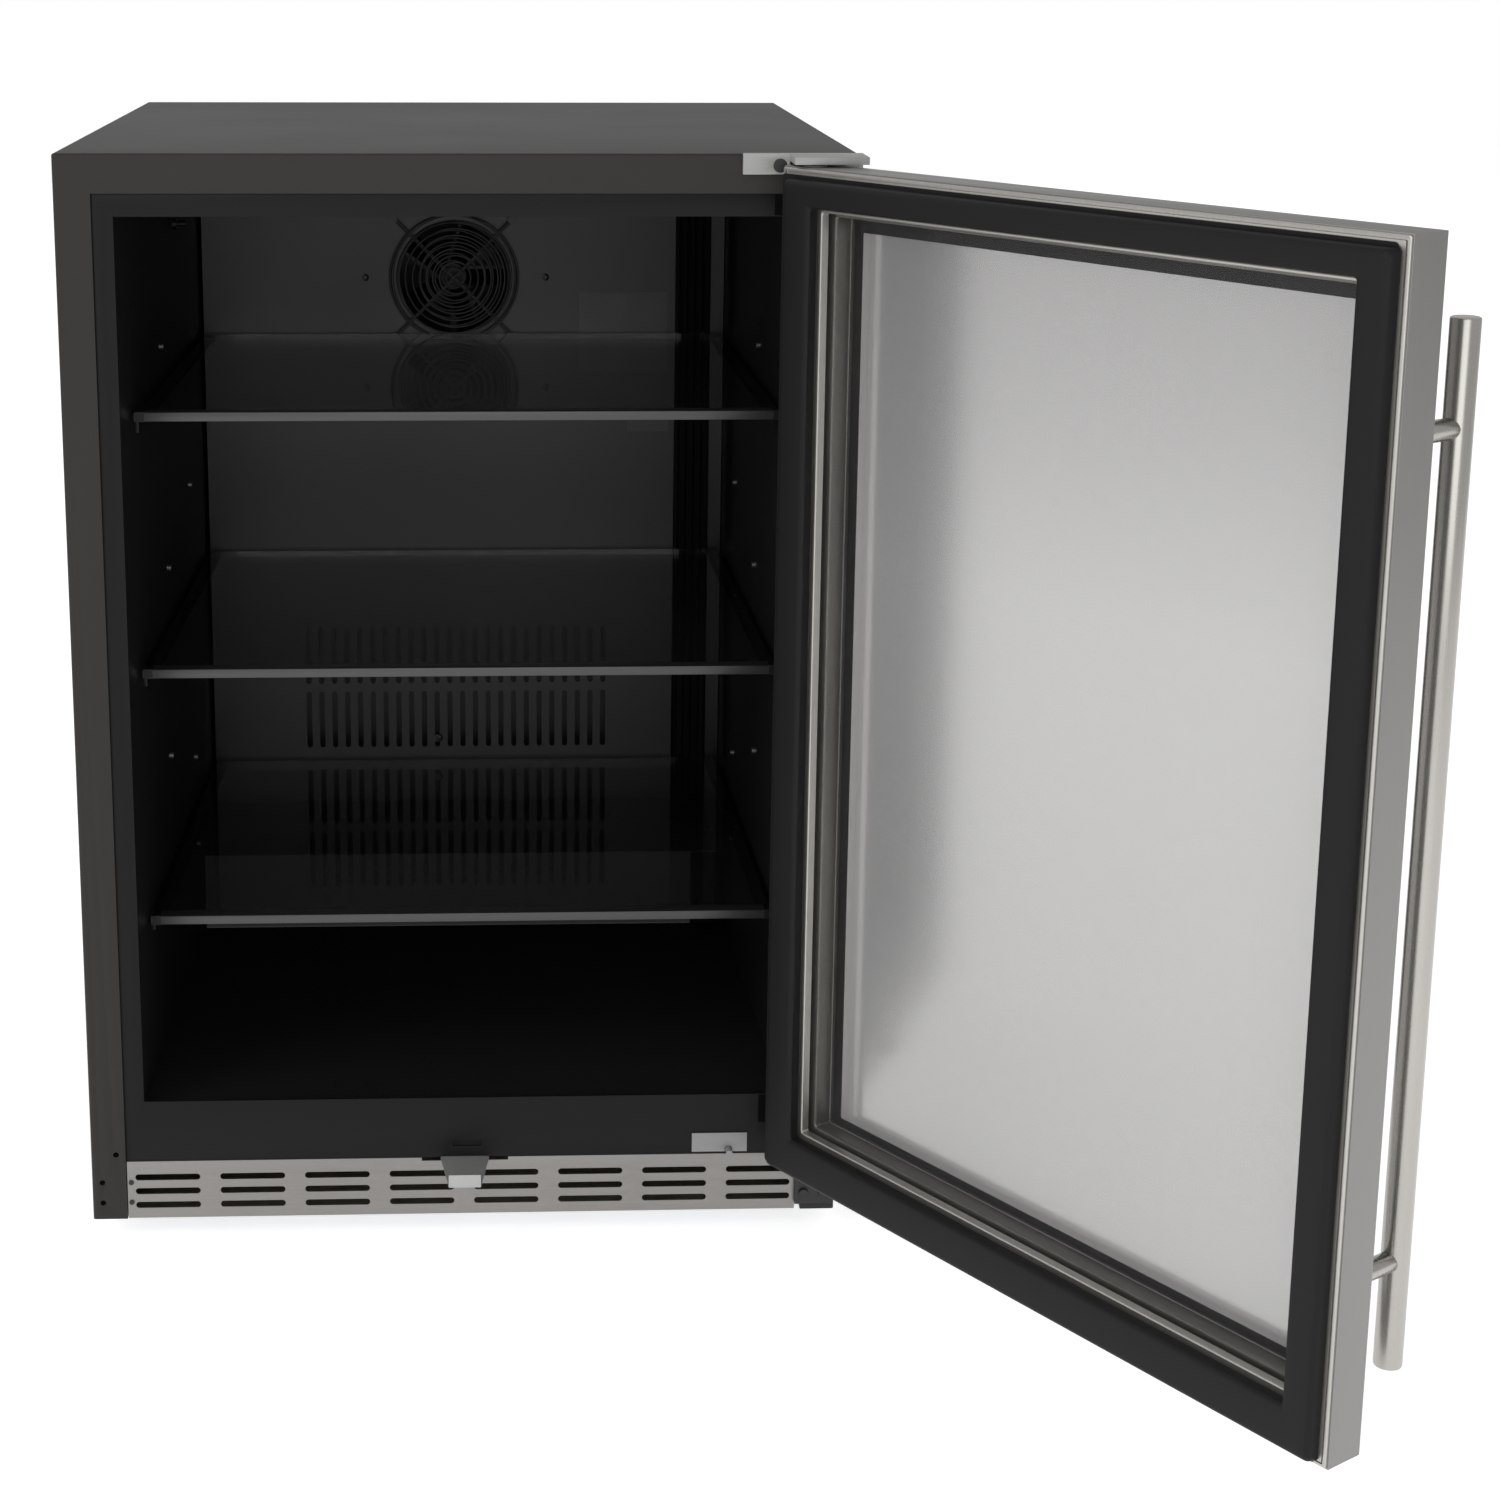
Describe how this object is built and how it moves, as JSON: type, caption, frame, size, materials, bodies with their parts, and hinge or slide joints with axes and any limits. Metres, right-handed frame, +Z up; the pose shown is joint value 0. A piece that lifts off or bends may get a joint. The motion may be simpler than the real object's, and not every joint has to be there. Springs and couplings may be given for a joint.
{
  "type": "undercounter refrigerator",
  "caption": "Undercounter refrigerator with a framed glass door hung on the right, glass shelves, a fan-cooled back panel and a slotted toe grille.",
  "frame": {"origin": "on the floor, at the centre of the four levelling feet", "axes": "+Z up, -Y out of the open front, +X towards the hinged side of the door"},
  "size_m": [0.917, 1.0828, 0.8655],
  "materials": {
    "case_paint": "fine grained satin",
    "galvanised": "plain zinc",
    "foam": "cut foam",
    "liner_plastic": "fine grained",
    "frame_plastic": "satin",
    "panel_plastic": "satin",
    "black_plastic": "semi-gloss",
    "stainless": "brushed",
    "stainless_bar": "polished along its length",
    "door_frame_alu": "satin",
    "trim_alu": "anodised",
    "fin_alu": "bare",
    "black_steel": "satin",
    "grey_steel": "satin",
    "motor_steel": "satin",
    "rubber_black": "matt",
    "gasket_vinyl": "soft satin",
    "clear_glass": "polished",
    "tinted_glass": "polished, coated",
    "shelf_glass": "polished",
    "spacer_alu": "satin",
    "copper": "drawn",
    "plate_plastic": "printed label without text",
    "light_plastic": "satin",
    "knob_plastic": "gloss",
    "lamp_plastic": "milky",
    "chrome_screw": "polished"
  },
  "bodies": {
    "cabinet": {"outer_case": "case_paint", "rear_panel": "galvanised", "rear_cover": "galvanised", "base_pan": "galvanised", "foam_body": "foam", "inner_liner": "liner_plastic", "face_frame": "frame_plastic", "corner_caps": "black_plastic", "toe_grille": "stainless", "grille_screws": "black_steel", "levelling_feet": "rubber_black", "evaporator": "fin_alu", "evaporator_cover": "panel_plastic", "cover_screws": "black_steel", "fan_guard": "black_steel", "evap_fan_motor": "motor_steel", "wire_duct": "black_plastic", "label_plates": "plate_plastic", "thermostat_box": "frame_plastic", "temp_probe": "chrome_screw", "lamp_lens": "lamp_plastic", "shelf_rails": "black_plastic", "shelf_pins": "chrome_screw", "shelf_glass_1": "shelf_glass", "shelf_glass_2": "shelf_glass", "shelf_glass_3": "shelf_glass", "shelf_trim_1": "trim_alu", "shelf_trim_2": "trim_alu", "shelf_trim_3": "trim_alu", "compressor": "black_steel", "compressor_grommets": "rubber_black", "start_relay": "black_plastic", "condenser": "fin_alu", "fan_shroud": "galvanised", "condenser_fan_motor": "motor_steel", "filter_drier": "copper", "refrigerant_pipes": "copper", "drain_pan": "black_plastic", "power_inlet": "black_plastic", "lock_strike": "stainless_bar", "switch_plate": "light_plastic", "top_hinge": "grey_steel", "bottom_hinge": "black_steel", "hinge_screws": "black_steel"},
    "door": {"door_skin": "stainless", "door_frame": "door_frame_alu", "door_foam": "foam", "inner_glass": "clear_glass", "glass_spacer": "spacer_alu", "outer_glass": "tinted_glass", "door_gasket": "gasket_vinyl", "handle_bar": "stainless_bar", "handle_posts": "stainless_bar", "hinge_bushes": "light_plastic", "lock_barrel": "chrome_screw"},
    "lock_cam": {"lock_cam": "chrome_screw"},
    "evap_fan": {"evap_fan_blade": "black_plastic"},
    "condenser_fan": {"condenser_fan_blade": "light_plastic"},
    "door_switch": {"switch_plunger": "light_plastic"},
    "thermostat": {"thermostat_knob": "knob_plastic"}
  },
  "joints": [
    {"name": "door_hinge", "type": "hinge", "parent": "cabinet", "child": "door", "pos_m": [0.2615, -0.326, 0.018], "axis": [0, 0, 1], "range_deg": [-124, 4]},
    {"name": "lock_turn", "type": "hinge", "parent": "door", "child": "lock_cam", "pos_m": [0.40773, -0.54279, 0.088], "axis": [0.829, 0.5592, 0], "range_deg": [0, 90]},
    {"name": "evap_fan_spin", "type": "hinge", "parent": "cabinet", "child": "evap_fan", "pos_m": [-0.009, 0.1918, 0.714], "axis": [0, 1, 0], "continuous": true},
    {"name": "condenser_fan_spin", "type": "hinge", "parent": "cabinet", "child": "condenser_fan", "pos_m": [-0.145, 0.21525, 0.09825], "axis": [1, 0, 0], "continuous": true},
    {"name": "switch_press", "type": "slide", "parent": "cabinet", "child": "door_switch", "axis": [0, 1, 0], "range_m": [0, 0.003], "stiffness_N_per_m": 400, "springref_m": -0.003},
    {"name": "thermostat_turn", "type": "hinge", "parent": "cabinet", "child": "thermostat", "pos_m": [0.045, -0.015, 0.796], "axis": [0, 0, 1], "range_deg": [0, 270]}
  ]
}
